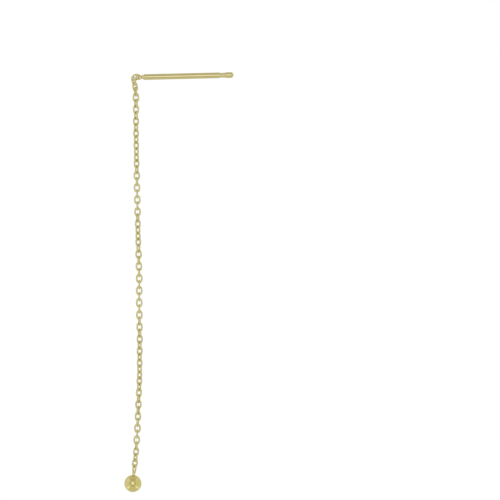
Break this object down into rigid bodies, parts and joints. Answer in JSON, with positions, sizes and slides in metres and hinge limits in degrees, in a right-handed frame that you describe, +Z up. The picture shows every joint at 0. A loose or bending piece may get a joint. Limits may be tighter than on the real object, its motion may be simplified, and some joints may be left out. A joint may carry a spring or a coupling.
{
  "type": "threader chain earring",
  "caption": "Threader earring: a straight round bar that goes through the ear, a fine cable chain hung from its soldered eye by a jump ring, and a small polished ball at the chain's end.",
  "frame": {"origin": "middle of the bar's straight shaft, on its axis, where the bar sits in the ear", "axes": "+X along the bar from its eye towards its free tip, which rises a little, +Z up, against the hang of the chain, +Y from front to back"},
  "size_m": [0.0189, 0.003, 0.0727],
  "materials": {
    "bar_gold": "polished along its length, pale gold",
    "ring_gold": "polished wire, pale gold",
    "chain_gold": "polished wire, pale gold",
    "ball_gold": "mirror polish, pale gold"
  },
  "bodies": {
    "hanger": {"threader_bar": "bar_gold", "jump_ring": "ring_gold", "chain": "chain_gold"},
    "drop": {"ball_drop": "ball_gold"}
  },
  "joints": [
    {"name": "ball_swing", "type": "hinge", "parent": "hanger", "child": "drop", "pos_m": [-0.00828, 0, -0.06862], "axis": [-0.8517, 0.5117, 0.1132], "range_deg": [-80, 80]}
  ]
}
